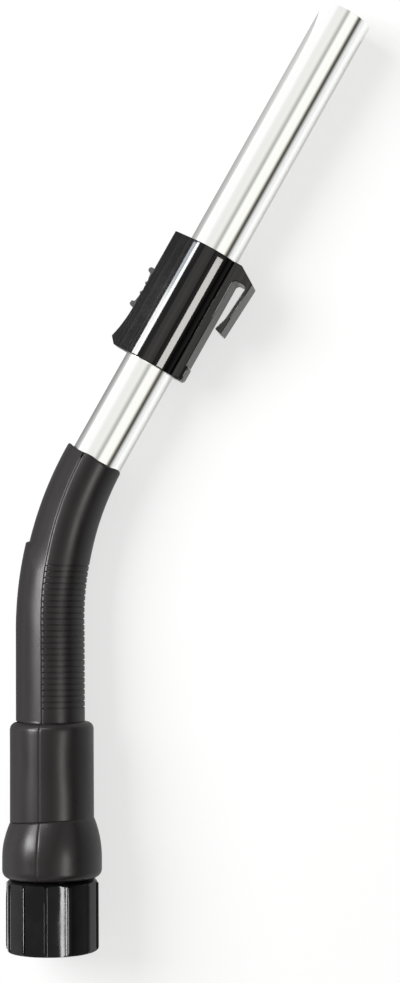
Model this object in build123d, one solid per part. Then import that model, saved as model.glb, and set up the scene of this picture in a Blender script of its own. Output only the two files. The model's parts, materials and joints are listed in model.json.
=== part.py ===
from build123d import *
import os
from math import acos, atan2, cos, degrees, hypot, radians, sin, sqrt

# Driving dimensions, in millimetres and degrees.
# The handle is drawn in its bend plane: Y runs up the lower axis from the mouth of the hose
# connector, X points to the hook side, and Z stands on the bend plane.

# Bent steel tube
TUBE_RADIUS = 16.0
TUBE_WALL = 0.6
TUBE_EDGE = 0.3             # bevel of the open end's outer edge
BEND_ANGLE = 30.0
BEND_RADIUS = 205.0
BEND_START = 192.5          # height of the bend above the connector's mouth
TUBE_STRAIGHT = 312.0       # from the end of the bend to the open end

# Hose connector, ribbed round and free to turn
CONNECTOR_LENGTH = 43.0     # the ribbed part that shows
CONNECTOR_PANEL = 26.7      # centre to the flat of a panel
CONNECTOR_SIDES = 12
CONNECTOR_TURN = -2.5       # turn of the first rib from the front
RIB_RADIUS = 28.2
RIB_WIDTH = 1.6
MOUTH_BEVEL = 2.0
SHOULDER_BEVEL = 2.6
HOSE_RADIUS = 22.5          # socket for the hose end
HOSE_DEPTH = 36.0
HOSE_LEAD = 1.0             # lead-in bevel at the mouth
NECK_RADIUS = 19.6
NECK_BORE = 16.4
NECK_LENGTH = 47.0          # neck above the ribbed part

# Swivel sleeve, its ring and its seal
SWIVEL_PLAY = 0.08          # running clearance of the neck, on the radius
SLEEVE_WALL = 2.8
SLEEVE_STOP = 3.0           # inner shoulder that the tube stands on
SLEEVE_SOCKET = 30.0        # depth that the tube goes in
SOCKET_WALL = 3.0
FLANGE_RADIUS = 26.5
FLANGE_HEIGHT = 5.0
RING_HEIGHT = 2.6
RING_DROP = 8.0             # ring below the neck's end
RING_BITE = 1.5             # how far the ring stands in each groove
RING_SPLIT = 6.0
SEAL_SECTION = 2.0          # the seal's square section
SEAL_RISE = 18.0            # seal above the ribbed part
GROOVE_PLAY = 0.3           # room above and below a ring in its groove

# Soft grip: ribbed handle, cuff and ball in one moulding
PRESS_FIT = 0.05            # radial room between pieces that are pushed together
BALL_RADIUS = 30.1
RIM_BEVEL = 1.4             # at the ball's lower rim
BALL_GAP = 0.7              # between the ribbed part and the ball's rim
BALL_WIDEST = 12.0          # widest place above the rim, where its side starts to round in
BALL_HEIGHT = 35.5
RIM_LIP = 1.8               # lip that closes over the sleeve's end
LIP_RADIUS = 20.6
CUFF_RADIUS = 25.4
CUFF_HEIGHT = 58.2          # above the ball
CUFF_ROUND = 4.5
GRIP_FOOT_RADIUS = 20.1
GRIP_TOP_RADIUS = 18.5
GRIP_SHIFT = 1.8            # the upper grip stands off this far towards the palm
GRIP_LENGTH = 164.3         # from the cuff's top along the tube
GRIP_STATIONS = 9           # sections of the grip round the bend
PAD_RISE = 2.0              # raised palm pad
PAD_LENGTH = 105.3          # from the cuff's top along the tube
SEAM_FOOT = 2.3             # mould seam to the palm side of the middle, at the cuff
SEAM_TOP = 4.4              # and at the grip's top end
SEAM_STEP = 0.2             # the pad stands this proud along the seam
GROOVE_COUNT = 25
GROOVE_PITCH = 3.55
GROOVE_WIDTH = 1.0
GROOVE_DEPTH = 0.6
GROOVE_FIRST = 8.9          # lowest groove above the cuff's top
GROOVE_LAND = 0.4           # plain strip between the grooves and the seam

# Clip collar: slide housing, rail and parking hook in one moulding
COLLAR_PLACE = 68.0         # from the end of the bend to the collar's lower end
COLLAR_LENGTH = 78.7
COLLAR_RADIUS = 19.4
COLLAR_EDGE = 0.5           # bevel of its outer edges
FACE_REACH = 25.8           # tube axis to the slide face
FACE_WIDTH = 12.0
FLARE_REACH = 3.3           # how far the lower end flares out past the face
FLARE_HEIGHT = 26.0
FLARE_BOW = 0.8             # how far the flare stands out at its middle
FLARE_CHAMFER = 4.2
RAIL_REACH = 21.4
RAIL_WIDTH = 24.0
HOOK_REACH = 32.6
HOOK_ARM = 2.8
HOOK_LEAN = 2.0             # how far the arm leans in at its tip
HOOK_SHOULDER = 7.0         # drop of the sloping top
HOOK_TIP = 36.5             # height of the tip above the collar's lower end
HOOK_TIP_GAP = 4.6
HOOK_FOOT = 9.0             # length over which the tip thickens
SLOT_DROP = 9.7             # top of the hook's slot below the collar's top
SLOT_ROUND = 2.4
CATCH_RISE = 1.4            # small catch at the rail's lower end
CATCH_WIDTH = 15.0
CATCH_HEIGHT = 10.4
PIP_RADIUS = 3.0            # pip that locks the collar to the tube

# Suction slide and its shutter
SLIDE_TRAVEL = 15.0
SLIDE_PLACE = 25.8          # lower end of the button above the collar's lower end
SLIDE_LENGTH = 26.6
SLIDE_WIDTH = 8.6
SLIDE_RISE = 3.4            # end bumps above the face
BUMP_RADIUS = 1.7
RIDGE_RADIUS = 0.8
RIDGE_SPREAD = 3.3          # each ridge from the button's middle
TRACK_DEPTH = 1.2
TRACK_ROOM = 0.35           # room round the button in its track
STEM_LENGTH = 9.0
STEM_WIDTH = 4.6
FACE_WALL = 3.2
SHUTTER_LENGTH = 24.0
SHUTTER_WIDTH = 12.0
SHUTTER_WALL = 2.0
SHUTTER_PLAY = 0.15         # shutter off the tube
BLEED_LENGTH = 12.0
BLEED_WIDTH = 6.0

# How it lies on a flat surface: on the ball, the collar's lower end and the grip by the bend
CONTACT_TURN = 20.0         # place of the grip's contact, round the bend

# Places along the handle's centreline, measured from the connector's mouth
BEND_TURN = radians(BEND_ANGLE)
BEND_END = BEND_START + BEND_RADIUS * BEND_TURN
TUBE_END = BEND_END + TUBE_STRAIGHT
NECK_TOP = CONNECTOR_LENGTH + NECK_LENGTH
BALL_FOOT = CONNECTOR_LENGTH + BALL_GAP
SLEEVE_FOOT = BALL_FOOT + RIM_LIP
STOP_FOOT = NECK_TOP + 2 * GROOVE_PLAY
TUBE_FOOT = STOP_FOOT + SLEEVE_STOP
SLEEVE_TOP = TUBE_FOOT + SLEEVE_SOCKET
BALL_TOP = BALL_FOOT + BALL_HEIGHT
CUFF_TOP = BALL_TOP + CUFF_HEIGHT
GRIP_TOP = CUFF_TOP + GRIP_LENGTH
PAD_TOP = CUFF_TOP + PAD_LENGTH
COLLAR_FOOT = BEND_END + COLLAR_PLACE
RING_FOOT = NECK_TOP - RING_DROP
SEAL_MIDDLE = CONNECTOR_LENGTH + SEAL_RISE

# Places by the collar, as heights above its lower end
SLIDE_END = SLIDE_PLACE + SLIDE_LENGTH
STEM_PLACE = SLIDE_PLACE + (SLIDE_LENGTH - STEM_LENGTH) / 2
SHUTTER_PLACE = SLIDE_PLACE + (SLIDE_LENGTH - SHUTTER_LENGTH) / 2
BLEED_MIDDLE = SHUTTER_PLACE + SLIDE_TRAVEL / 2
PIP_PLACE = COLLAR_LENGTH / 2

# Radii that follow from the fits
SLEEVE_BORE = NECK_RADIUS + SWIVEL_PLAY
SLEEVE_RADIUS = SLEEVE_BORE + SLEEVE_WALL
SOCKET_BORE = TUBE_RADIUS + PRESS_FIT
SOCKET_RADIUS = SOCKET_BORE + SOCKET_WALL
TUBE_BORE = TUBE_RADIUS - TUBE_WALL
SEAL_FLOOR = NECK_RADIUS - SEAL_SECTION
SHUTTER_INNER = TUBE_RADIUS + SHUTTER_PLAY
TRACK_REACH = FACE_REACH - TRACK_DEPTH
FLARE_END = FACE_REACH + FLARE_REACH


def station(distance):
    """The place at a distance along the centreline: X to the hook side, Y along the tube."""
    if distance <= BEND_START:
        return Location((0, distance, 0))
    turn = min((distance - BEND_START) / BEND_RADIUS, BEND_TURN)
    past = max(distance - BEND_END, 0)
    x = BEND_RADIUS * (1 - cos(turn)) + past * sin(BEND_TURN)
    y = BEND_START + BEND_RADIUS * sin(turn) + past * cos(BEND_TURN)
    return Location((x, y, 0), (0, 0, -degrees(turn)))


def across(distance):
    """The sketch plane across the centreline: its x to the hook side, its y to the back."""
    return station(distance) * Plane((0, 0, 0), x_dir=(1, 0, 0), z_dir=(0, 1, 0)).location


def along_centreline(profile, start, end):
    """Carry a profile, drawn about the centreline, from one place to another round the bend."""
    places = [start, BEND_START, BEND_END, end]
    points = [station(place).position for place in places]
    middle = station((BEND_START + BEND_END) / 2).position
    path = Wire([
        Line(points[0], points[1]).edge(),
        ThreePointArc(points[1], middle, points[2]).edge(),
        Line(points[2], points[3]).edge(),
    ])
    return sweep(across(start) * profile, path=path)


def turned(outline):
    """Turn a closed outline of (radius, height) pieces about the lower axis."""
    return revolve(make_face(outline), axis=Axis.Y)


def barrel(radius, foot, top):
    """A plain round bar on the lower axis."""
    return extrude(across(foot) * Circle(radius), top - foot)


def bar(radius, foot, top):
    """A round bar on the straight tube's axis, in the collar's own place and heights."""
    return Pos(0, foot, 0) * extrude(across(0) * Circle(radius), top - foot)


def block(near, far, foot, top, width):
    """A box on the palm side of the tube's axis, in the collar's own place and heights."""
    outline = Rectangle(far - near, top - foot, align=(Align.MAX, Align.MIN))
    return extrude(Pos(-near, foot) * outline, width / 2, both=True)


def plate(face, width):
    """A plate cut to a face in the bend plane, centred on that plane."""
    return extrude(face, width / 2, both=True)


def by_collar(shape):
    """Put a shape made in the collar's own place onto the tube."""
    return station(COLLAR_FOOT) * shape


def steel_tube():
    """Bent tube with the air-bleed slot under the shutter and the hole that the collar's pip fills."""
    ring = Circle(TUBE_RADIUS) - Circle(TUBE_BORE)
    tube = along_centreline(ring, TUBE_FOOT, TUBE_END)
    open_end = tube.edges().filter_by(GeomType.CIRCLE).sort_by(Axis.Y)[-2:]
    tube = chamfer(open_end.sort_by(SortBy.RADIUS)[-1], TUBE_EDGE)
    palm_side = Plane((-TUBE_RADIUS, BLEED_MIDDLE, 0), x_dir=(0, 1, 0), z_dir=(-1, 0, 0))
    slot = extrude(palm_side * SlotOverall(BLEED_LENGTH, BLEED_WIDTH), TUBE_RADIUS / 2, both=True)
    pip_side = Plane((TUBE_RADIUS, PIP_PLACE, 0), x_dir=(0, 1, 0), z_dir=(1, 0, 0))
    hole = extrude(pip_side * Circle(PIP_RADIUS + PRESS_FIT), TUBE_RADIUS / 2, both=True)
    return tube - by_collar(slot) - by_collar(hole)


def sleeve_outside(room):
    """Outer form of the swivel sleeve, grown by some room: flange, barrel and tube socket."""
    outline = Polyline(
        (0, SLEEVE_FOOT),
        (FLANGE_RADIUS + room, SLEEVE_FOOT),
        (FLANGE_RADIUS + room, SLEEVE_FOOT + FLANGE_HEIGHT + room),
        (SLEEVE_RADIUS + room, SLEEVE_FOOT + FLANGE_HEIGHT + room),
        (SLEEVE_RADIUS + room, TUBE_FOOT + room),
        (SOCKET_RADIUS + room, TUBE_FOOT + room),
        (SOCKET_RADIUS + room, SLEEVE_TOP + room),
        (0, SLEEVE_TOP + room),
        close=True,
    )
    return turned(outline)


def ring_groove(radius, bottom, height):
    """Ring of room for a groove: outward from a radius, with play above and below what it holds."""
    return barrel(radius, bottom - GROOVE_PLAY, bottom + height + GROOVE_PLAY)


def swivel_sleeve():
    """Hard sleeve: the tube stands in its upper socket, and the neck turns in its lower bore."""
    sleeve = sleeve_outside(0)
    sleeve -= barrel(SLEEVE_BORE, SLEEVE_FOOT, STOP_FOOT)
    sleeve -= barrel(TUBE_BORE, STOP_FOOT, TUBE_FOOT)
    sleeve -= barrel(SOCKET_BORE, TUBE_FOOT, SLEEVE_TOP)
    return sleeve - ring_groove(SLEEVE_BORE + RING_BITE + GROOVE_PLAY, RING_FOOT, RING_HEIGHT)


def retaining_ring():
    """Split ring that sits half in the neck's groove and half in the sleeve's."""
    ring = barrel(SLEEVE_BORE + RING_BITE, RING_FOOT, RING_FOOT + RING_HEIGHT)
    ring -= barrel(NECK_RADIUS - RING_BITE, RING_FOOT, RING_FOOT + RING_HEIGHT)
    split = Rectangle(RING_SPLIT, SLEEVE_RADIUS, align=(Align.CENTER, Align.MIN))
    return ring - extrude(across(RING_FOOT) * split, RING_HEIGHT)


def seal_ring():
    """Square-section seal in its groove on the neck."""
    foot = SEAL_MIDDLE - SEAL_SECTION / 2
    ring = barrel(NECK_RADIUS, foot, foot + SEAL_SECTION)
    return ring - barrel(SEAL_FLOOR, foot, foot + SEAL_SECTION)


def hose_connector():
    """Ribbed connector: flat panels between narrow ribs, hose socket below, swivel neck above."""
    pitch = 360 / CONNECTOR_SIDES
    panels = RegularPolygon(CONNECTOR_PANEL, CONNECTOR_SIDES, major_radius=False)
    rib = Rectangle(RIB_RADIUS, RIB_WIDTH, align=(Align.MIN, Align.CENTER))
    corners = [Rot(0, 0, pitch * n) * rib for n in range(CONNECTOR_SIDES)]
    section = Rot(0, 0, CONNECTOR_TURN - 90) * (panels + corners)
    body = extrude(across(0) * section, CONNECTOR_LENGTH)
    top = RIB_RADIUS - SHOULDER_BEVEL
    envelope = Polyline(
        (0, 0),
        (RIB_RADIUS - MOUTH_BEVEL, 0),
        (RIB_RADIUS, MOUTH_BEVEL),
        (RIB_RADIUS, CONNECTOR_LENGTH - SHOULDER_BEVEL),
        (top, CONNECTOR_LENGTH),
        (0, CONNECTOR_LENGTH),
        close=True,
    )
    body &= turned(envelope)
    body += barrel(NECK_RADIUS, CONNECTOR_LENGTH, NECK_TOP)
    body -= barrel(HOSE_RADIUS, 0, HOSE_DEPTH)
    body -= barrel(NECK_BORE, HOSE_DEPTH, NECK_TOP)
    lead = Polyline(
        (0, 0), (HOSE_RADIUS + HOSE_LEAD, 0), (HOSE_RADIUS, HOSE_LEAD), (0, HOSE_LEAD), close=True
    )
    body -= turned(lead)
    ring_seat = ring_groove(NECK_RADIUS, RING_FOOT, RING_HEIGHT)
    ring_seat -= ring_groove(NECK_RADIUS - RING_BITE - SWIVEL_PLAY, RING_FOOT, RING_HEIGHT)
    seal_foot = SEAL_MIDDLE - SEAL_SECTION / 2
    seal_seat = ring_groove(NECK_RADIUS, seal_foot, SEAL_SECTION)
    seal_seat -= ring_groove(SEAL_FLOOR - SWIVEL_PLAY, seal_foot, SEAL_SECTION)
    return body - ring_seat - seal_seat


def grip_share(distance):
    """How far the grip has narrowed from its foot to its top end, 0 to 1."""
    return min(max((distance - BEND_START) / (GRIP_TOP - BEND_START), 0), 1)


def grip_radius(distance):
    """Radius of the grip's round section."""
    return GRIP_FOOT_RADIUS + (GRIP_TOP_RADIUS - GRIP_FOOT_RADIUS) * grip_share(distance)


def grip_middle(distance):
    """Where the grip's round section is centred, towards the palm side of the tube."""
    return -GRIP_SHIFT * grip_share(distance)


def grip_form(section_at, top):
    """Carry a section of the grip straight up from inside the cuff, then loft it on round the bend."""
    root = CUFF_TOP - CUFF_ROUND
    steps = GRIP_STATIONS - 1
    places = [BEND_START + (top - BEND_START) * n / steps for n in range(GRIP_STATIONS)]
    straight = extrude(across(root) * section_at(root), BEND_START - root)
    return straight + loft([across(place) * section_at(place) for place in places], ruled=True)


def handle_section(distance):
    """Round section of the handle."""
    return Pos(grip_middle(distance)) * Circle(grip_radius(distance))


def seam_place(distance):
    """How far the mould seam lies to the palm side of the grip's middle."""
    return SEAM_FOOT + (SEAM_TOP - SEAM_FOOT) * grip_share(distance)


def pad_section(distance):
    """The palm side of the same section, raised at its back and just proud along the two seams."""
    radius = grip_radius(distance)
    seam = -seam_place(distance)
    half = sqrt(radius**2 - seam**2) + SEAM_STEP
    outline = Curve() + [
        ThreePointArc((seam, half), (-radius - PAD_RISE, 0), (seam, -half)),
        Line((seam, -half), (seam, half)),
    ]
    return Pos(grip_middle(distance)) * make_face(outline)


def finger_groove(distance):
    """One V groove across the finger side, from seam to seam."""
    floor = grip_radius(distance) - GROOVE_DEPTH
    reach = 2 * GROOVE_DEPTH
    outline = Polyline((floor, 0), (floor + reach, GROOVE_WIDTH), (floor + reach, -GROOVE_WIDTH), close=True)
    start = GROOVE_LAND - seam_place(distance)
    side = Pos(start) * Rectangle(2 * floor, 4 * floor, align=(Align.MIN, Align.CENTER))
    finger_side = extrude(across(0) * side, GROOVE_WIDTH, both=True)
    return station(distance) * Pos(grip_middle(distance)) * (turned(outline) & finger_side)


def cuff_and_ball():
    """Turned cuff, rounded at its top, and the ball below it, whose side rounds in to the cuff."""
    widest = BALL_FOOT + BALL_WIDEST
    side_foot = CUFF_TOP - CUFF_ROUND
    outline = Curve() + [
        Polyline(
            (0, BALL_FOOT),
            (BALL_RADIUS - RIM_BEVEL, BALL_FOOT),
            (BALL_RADIUS, BALL_FOOT + RIM_BEVEL),
            (BALL_RADIUS, widest),
        ),
        TangentArc((BALL_RADIUS, widest), (CUFF_RADIUS, BALL_TOP), tangent=(0, 1)),
        Line((CUFF_RADIUS, BALL_TOP), (CUFF_RADIUS, side_foot)),
        RadiusArc((CUFF_RADIUS, side_foot), (CUFF_RADIUS - CUFF_ROUND, CUFF_TOP), -CUFF_ROUND),
        Polyline((CUFF_RADIUS - CUFF_ROUND, CUFF_TOP), (0, CUFF_TOP), (0, BALL_FOOT)),
    ]
    return turned(outline)


def hand_grip():
    """Soft grip moulding, hollow for the tube and the swivel sleeve."""
    grip = grip_form(handle_section, GRIP_TOP) + grip_form(pad_section, PAD_TOP)
    grip -= [finger_groove(CUFF_TOP + GROOVE_FIRST + GROOVE_PITCH * n) for n in range(GROOVE_COUNT)]
    grip += cuff_and_ball()
    grip -= along_centreline(Circle(SOCKET_BORE), SLEEVE_TOP, max(GRIP_TOP, BEND_END) + GRIP_TOP_RADIUS)
    grip -= sleeve_outside(PRESS_FIT)
    return grip - barrel(LIP_RADIUS, BALL_FOOT, SLEEVE_FOOT)


def collar_section():
    """Ring round the tube, with flat sides that run from it, tangent, to the slide face."""
    half = FACE_WIDTH / 2
    lean = atan2(half, FACE_REACH) + acos(COLLAR_RADIUS / hypot(half, FACE_REACH))
    tip = (COLLAR_RADIUS - FLARE_END * cos(lean)) / sin(lean)
    touch_x = -COLLAR_RADIUS * cos(lean)
    touch_y = COLLAR_RADIUS * sin(lean)
    flats = Polyline(
        (touch_x, touch_y), (-FLARE_END, tip), (-FLARE_END, -tip), (touch_x, -touch_y), close=True
    )
    return Circle(COLLAR_RADIUS) + make_face(flats)


def collar_side():
    """Side view of the collar: straight slide face that flares out to a bevelled lower end."""
    outline = Curve() + [
        Polyline(
            (COLLAR_RADIUS, 0),
            (COLLAR_RADIUS, COLLAR_LENGTH),
            (-FACE_REACH, COLLAR_LENGTH),
            (-FACE_REACH, FLARE_HEIGHT),
        ),
        ThreePointArc(
            (-FACE_REACH, FLARE_HEIGHT),
            (-FACE_REACH - FLARE_BOW, (FLARE_HEIGHT + FLARE_CHAMFER) / 2),
            (-FLARE_END, FLARE_CHAMFER),
        ),
        Polyline((-FLARE_END, FLARE_CHAMFER), (FLARE_CHAMFER - FLARE_END, 0), (COLLAR_RADIUS, 0)),
    ]
    return make_face(outline)


def hook_side():
    """Rail and parking hook: sloping shoulder, leaning arm with a thickened tip, open slot below."""
    slot_top = COLLAR_LENGTH - SLOT_DROP
    tip_inner = RAIL_REACH + HOOK_TIP_GAP
    arm_inner = HOOK_REACH - HOOK_ARM
    foot = HOOK_TIP + HOOK_FOOT
    foot_inner = arm_inner - HOOK_LEAN * (slot_top - foot) / (slot_top - HOOK_TIP)
    outline = Polyline(
        (0, 0),
        (RAIL_REACH, 0),
        (RAIL_REACH, slot_top),
        (arm_inner, slot_top),
        (foot_inner, foot),
        (tip_inner, HOOK_TIP + HOOK_LEAN),
        (tip_inner, HOOK_TIP + HOOK_LEAN / 2),
        (HOOK_REACH - HOOK_LEAN, HOOK_TIP),
        (HOOK_REACH, COLLAR_LENGTH - HOOK_SHOULDER),
        (RAIL_REACH, COLLAR_LENGTH),
        (0, COLLAR_LENGTH),
        close=True,
    )
    face = make_face(outline)
    slot_corners = face.vertices().filter_by_position(Axis.Y, slot_top, slot_top)
    return fillet(slot_corners, SLOT_ROUND)


def catch_side():
    """Small catch, bevelled both ways, at the rail's lower end."""
    reach = RAIL_REACH + CATCH_RISE
    outline = Polyline(
        (0, 0),
        (RAIL_REACH, 0),
        (reach, CATCH_RISE),
        (reach, CATCH_HEIGHT - CATCH_RISE),
        (RAIL_REACH, CATCH_HEIGHT),
        (0, CATCH_HEIGHT),
        close=True,
    )
    return make_face(outline)


def bevelled_sides(solid):
    """Bevel the edges of a plate's two broad sides."""
    sides = solid.faces().sort_by(Axis.Z)
    return chamfer(sides[0].edges() + sides[-1].edges(), COLLAR_EDGE)


def clip_collar():
    """Collar on the tube: slide housing towards the palm side, rail, catch and hook opposite."""
    housing = extrude(across(0) * collar_section(), COLLAR_LENGTH) & plate(collar_side(), 2 * FLARE_END)
    ends = housing.edges().group_by(Axis.Y)
    housing = chamfer(ends[0] + ends[-1], COLLAR_EDGE)
    collar = housing + bevelled_sides(plate(hook_side(), RAIL_WIDTH)) + plate(catch_side(), CATCH_WIDTH)
    collar -= bar(TUBE_RADIUS + PRESS_FIT, 0, COLLAR_LENGTH)
    pip_end = TUBE_BORE + PRESS_FIT
    pip_plane = Plane((pip_end, PIP_PLACE, 0), x_dir=(0, 1, 0), z_dir=(1, 0, 0))
    collar += extrude(pip_plane * Circle(PIP_RADIUS), COLLAR_RADIUS - pip_end)
    room = 2 * TRACK_ROOM
    travel = SLIDE_TRAVEL + TRACK_ROOM
    collar -= block(TRACK_REACH, FLARE_END, SLIDE_PLACE - TRACK_ROOM, SLIDE_END + travel, SLIDE_WIDTH + room)
    stem_top = STEM_PLACE + STEM_LENGTH + travel
    collar -= block(0, FLARE_END, STEM_PLACE - TRACK_ROOM, stem_top, STEM_WIDTH + room)
    shutter_top = SHUTTER_PLACE + SHUTTER_LENGTH + travel
    chamber_wall = FACE_REACH - FACE_WALL
    collar -= block(0, chamber_wall, SHUTTER_PLACE - TRACK_ROOM, shutter_top, SHUTTER_WIDTH + room)
    return by_collar(collar)


def thumb_slide():
    """Thumb button: a base in the track, a bump at each end, low ridges between, and a stem."""
    base = -TRACK_REACH - SHUTTER_PLAY
    bump_x = BUMP_RADIUS - FACE_REACH - SLIDE_RISE
    bumps = (SLIDE_PLACE + BUMP_RADIUS, SLIDE_END - BUMP_RADIUS)
    middle = (SLIDE_PLACE + SLIDE_END) / 2
    hollow_x = -FACE_REACH - RIDGE_RADIUS / 2
    outline = Curve() + [
        Polyline(
            (bump_x, bumps[0]),
            (bump_x, SLIDE_PLACE),
            (base, SLIDE_PLACE),
            (base, SLIDE_END),
            (bump_x, SLIDE_END),
            (bump_x, bumps[1]),
        ),
        ThreePointArc((bump_x, bumps[1]), (hollow_x, middle), (bump_x, bumps[0])),
    ]
    profile = make_face(outline)
    profile += [Pos(bump_x, height) * Circle(BUMP_RADIUS) for height in bumps]
    ridges = (middle - RIDGE_SPREAD, middle + RIDGE_SPREAD)
    profile += [Pos(hollow_x, height) * Circle(RIDGE_RADIUS) for height in ridges]
    stem_end = SHUTTER_INNER + SHUTTER_WALL
    stem = block(stem_end, TRACK_REACH + SHUTTER_PLAY, STEM_PLACE, STEM_PLACE + STEM_LENGTH, STEM_WIDTH)
    return by_collar(plate(profile, SLIDE_WIDTH) + stem)


def shutter_plate():
    """Curved plate that rides on the tube over the bleed slot, under the button's stem."""
    top = SHUTTER_PLACE + SHUTTER_LENGTH
    outer = SHUTTER_INNER + SHUTTER_WALL
    curved = bar(outer, SHUTTER_PLACE, top) - bar(SHUTTER_INNER, SHUTTER_PLACE, top)
    return by_collar(curved & block(SHUTTER_INNER / 2, 2 * outer, SHUTTER_PLACE, top, SHUTTER_WIDTH))


nodes = {
    "steel_tube": steel_tube(),
    "hand_grip": hand_grip(),
    "swivel_sleeve": swivel_sleeve(),
    "hose_connector": hose_connector(),
    "retaining_ring": retaining_ring(),
    "seal_ring": seal_ring(),
    "clip_collar": clip_collar(),
    "thumb_slide": thumb_slide(),
    "shutter_plate": shutter_plate(),
}


def supports():
    """What the handle lies on: the ball, the grip by the bend and the collar, each as a ball."""
    contact = BEND_START + BEND_RADIUS * radians(CONTACT_TURN)
    grip = station(contact) * Pos(grip_middle(contact))
    return [
        (Vector(0, BALL_FOOT + BALL_WIDEST), BALL_RADIUS),
        (grip.position, grip_radius(contact)),
        (station(COLLAR_FOOT).position, COLLAR_RADIUS),
    ]


def lying_plane():
    """The floor under the three supports, as a plane turned with its y along the straight tube."""
    (ball, ball_radius), (grip, grip_radius_there), (collar, collar_radius) = supports()
    one = ball - collar
    two = grip - collar
    rise_one = ball_radius - collar_radius
    rise_two = grip_radius_there - collar_radius
    across_both = one.X * two.Y - one.Y * two.X
    x = (rise_one * two.Y - rise_two * one.Y) / across_both
    y = (one.X * rise_two - two.X * rise_one) / across_both
    up = Vector(x, y, sqrt(1 - x**2 - y**2))
    tube_way = Vector(sin(BEND_TURN), cos(BEND_TURN))
    return Plane((0, 0, 0), x_dir=tube_way.cross(up), z_dir=up)


lying = lying_plane().location.inverse()
nodes = {name: lying * solid for name, solid in nodes.items()}
box = Compound(list(nodes.values())).bounding_box()
middle = box.center()
to_floor = Pos(-middle.X, -middle.Y, -box.min.Z)

os.makedirs("parts", exist_ok=True)
for name, solid in nodes.items():
    placed = to_floor * solid
    placed.label = name
    export_step(placed, f"parts/{name}.step")
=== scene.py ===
import json
import bpy
import numpy as np
from mathutils import Matrix


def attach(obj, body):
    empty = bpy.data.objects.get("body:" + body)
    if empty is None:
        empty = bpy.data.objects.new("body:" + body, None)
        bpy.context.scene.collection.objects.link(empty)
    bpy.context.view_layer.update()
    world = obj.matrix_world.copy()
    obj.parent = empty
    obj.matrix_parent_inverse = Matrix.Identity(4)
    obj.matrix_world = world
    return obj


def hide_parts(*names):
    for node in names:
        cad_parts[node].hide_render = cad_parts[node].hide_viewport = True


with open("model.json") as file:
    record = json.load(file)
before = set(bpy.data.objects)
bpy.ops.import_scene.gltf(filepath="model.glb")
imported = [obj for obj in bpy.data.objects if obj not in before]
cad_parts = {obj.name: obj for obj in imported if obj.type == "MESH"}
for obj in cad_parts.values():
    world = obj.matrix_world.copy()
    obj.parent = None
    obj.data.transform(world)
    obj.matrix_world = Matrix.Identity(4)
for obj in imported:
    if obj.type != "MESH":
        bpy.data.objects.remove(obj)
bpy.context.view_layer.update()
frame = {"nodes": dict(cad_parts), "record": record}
nodes = frame["nodes"]


# Steel tube
# One length of thin chromed steel tube, bent once where the hand grip covers it. Its open upper end is
# sawn square with the edge polished round, and its lower end stands in the swivel sleeve.
TUBE_RADIUS = 0.016
TUBE_WALL = 0.0006
TUBE_EDGE = 0.0003
TUBE_FOOT = 0.0936
TUBE_STRAIGHT = 0.312
TUBE_COLUMNS = 144
EDGE_ROWS = 5
BEND_ROWS = 33
BEND_RADIUS = 0.205
BEND_START = 0.1925
HOSE_LEAD = 0.001

mounts = {mount["name"]: mount for mount in frame["record"]["mounts"]}
tube_way = np.array(mounts["tube_mouth"]["axis"])
lower_way = -np.array(mounts["hose_socket"]["axis"])
mouth = np.array(mounts["hose_socket"]["pos_m"]) - HOSE_LEAD * lower_way
bend_angle = np.arccos(lower_way @ tube_way)
hook_way = (tube_way - np.cos(bend_angle) * lower_way) / np.sin(bend_angle)
front_way = np.cross(hook_way, lower_way)
bend_end = BEND_START + BEND_RADIUS * bend_angle
tube_end = bend_end + TUBE_STRAIGHT


def centreline(distance):
    """Points of the handle's centreline and the way across it, to the hook side: straight up the lower
    axis, round the bend's arc, and straight again."""
    turn = np.clip((distance - BEND_START) / BEND_RADIUS, 0, bend_angle)[..., None]
    past = np.maximum(distance - bend_end, 0)[..., None]
    before = np.minimum(distance, BEND_START)[..., None]
    sideways = BEND_RADIUS * (1 - np.cos(turn)) + past * np.sin(bend_angle)
    upwards = before + BEND_RADIUS * np.sin(turn) + past * np.cos(bend_angle)
    points = mouth + sideways * hook_way + upwards * lower_way
    return points, np.cos(turn) * hook_way - np.sin(turn) * lower_way


def round_centreline(distance, radius, angle, shift=0.0):
    """A surface round the centreline: at each distance a point lies at a radius and an angle, which is 0
    towards the hook side and a quarter turn towards the front. A shift moves the whole section."""
    points, across = centreline(distance)
    sideways = (radius * np.cos(angle) + shift)[..., None]
    forwards = (radius * np.sin(angle))[..., None]
    return points + sideways * across + forwards * front_way


def closed_mesh(name, grid):
    """Mesh of a grid of points whose rows and columns both close on themselves, with its faces turned
    outwards: the volume under all the faces, as seen from the origin, has to be positive."""
    rows, columns = grid.shape[:2]
    index = np.arange(rows * columns).reshape(rows, columns)
    above = np.roll(index, -1, axis=0)
    beside = np.roll(index, -1, axis=1)
    corner = np.roll(above, -1, axis=1)
    faces = np.stack([index, beside, corner, above], axis=-1).reshape(-1, 4)
    points = grid.reshape(-1, 3)
    a, b, c, d = (points[faces[:, n]] for n in range(4))
    volume = np.sum(a * np.cross(b, c) + a * np.cross(c, d))
    mesh = bpy.data.meshes.new(name)
    mesh.from_pydata(points, [], faces if volume > 0 else faces[:, ::-1])
    return mesh


def smooth_piece(name, mesh, sharp=0.6):
    """An object for a mesh, shaded smooth but for the edges that turn by more than an angle."""
    mesh.shade_smooth()
    mesh.set_sharp_from_angle(angle=sharp)
    piece = bpy.data.objects.new(name, mesh)
    bpy.context.scene.collection.objects.link(piece)
    return piece


def arc(count, start, stop):
    """Cosines and sines of evenly spaced angles along an arc, as two arrays."""
    angle = np.linspace(start, stop, count)
    return np.cos(angle), np.sin(angle)


def full_turn(count):
    """Evenly spaced angles of a full turn, the last one step short of the first."""
    return np.linspace(0, 2 * np.pi, count, endpoint=False)


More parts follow.
